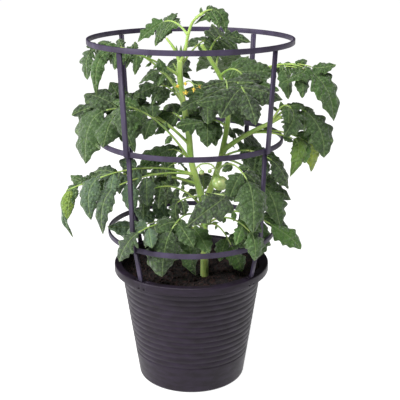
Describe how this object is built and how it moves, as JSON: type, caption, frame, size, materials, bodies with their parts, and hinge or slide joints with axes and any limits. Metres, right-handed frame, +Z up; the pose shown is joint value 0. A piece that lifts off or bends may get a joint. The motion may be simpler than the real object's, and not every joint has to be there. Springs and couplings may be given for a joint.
{
  "type": "tomato plant in a pot",
  "caption": "Young bushy tomato plant with flowers and a green fruit, held by a ring cage that stands on the rim of a ribbed plastic pot.",
  "frame": {"origin": "centre of the pot's base, on the ground", "axes": "+Z up, -Y the front that the flowers and the fruit face, +X to the right seen from the front"},
  "size_m": [0.5348, 0.383, 0.7312],
  "materials": {
    "pot_plastic": "satin, moulded",
    "cage_plastic": "satin, moulded",
    "potting_soil": "moist crumbly peat and bark mix",
    "green_stem": "soft green skin with fine hairs",
    "leaf_blade": "matt upper side, paler vein side",
    "yellow_petal": "soft petals",
    "unripe_fruit": "smooth waxy skin"
  },
  "bodies": {
    "root": {"flower_truss": "yellow_petal", "fruit_truss": "green_stem", "green_tomato": "unripe_fruit", "leaf_back_bottom": "leaf_blade", "leaf_back_high": "leaf_blade", "leaf_back_left_low": "leaf_blade", "leaf_back_left_middle": "leaf_blade", "leaf_back_right_low": "leaf_blade", "leaf_back_right_middle": "leaf_blade", "leaf_behind_left_stem": "leaf_blade", "leaf_bottom_far_right": "leaf_blade", "leaf_bottom_front": "leaf_blade", "leaf_bottom_left": "leaf_blade", "leaf_bottom_middle": "leaf_blade", "leaf_bottom_right": "leaf_blade", "leaf_centre_high": "leaf_blade", "leaf_centre_middle": "leaf_blade", "leaf_crown_back": "leaf_blade", "leaf_crown_left": "leaf_blade", "leaf_crown_middle": "leaf_blade", "leaf_crown_tip": "leaf_blade", "leaf_front_left_low": "leaf_blade", "leaf_front_low": "leaf_blade", "leaf_front_middle_low": "leaf_blade", "leaf_front_right_high": "leaf_blade", "leaf_front_right_low": "leaf_blade", "leaf_left_back_low": "leaf_blade", "leaf_left_high": "leaf_blade", "leaf_left_inner": "leaf_blade", "leaf_left_low": "leaf_blade", "leaf_left_middle": "leaf_blade", "leaf_left_trailing": "leaf_blade", "leaf_right_high": "leaf_blade", "leaf_right_low": "leaf_blade", "leaf_side_end": "leaf_blade", "leaf_side_under": "leaf_blade", "leaf_top_far_left": "leaf_blade", "leaf_top_far_right": "leaf_blade", "leaf_top_left_hanging": "leaf_blade", "leaf_upper_left": "leaf_blade", "leg_bottom_back_left": "cage_plastic", "leg_bottom_back_right": "cage_plastic", "leg_bottom_front_left": "cage_plastic", "leg_bottom_front_right": "cage_plastic", "leg_middle_back_left": "cage_plastic", "leg_middle_back_right": "cage_plastic", "leg_middle_front_left": "cage_plastic", "leg_middle_front_right": "cage_plastic", "leg_top_back_left": "cage_plastic", "leg_top_back_right": "cage_plastic", "leg_top_front_left": "cage_plastic", "leg_top_front_right": "cage_plastic", "main_stem": "green_stem", "pot": "pot_plastic", "right_stem": "green_stem", "ring_bottom": "cage_plastic", "ring_middle": "cage_plastic", "ring_top": "cage_plastic", "soil": "potting_soil"}
  },
  "joints": []
}
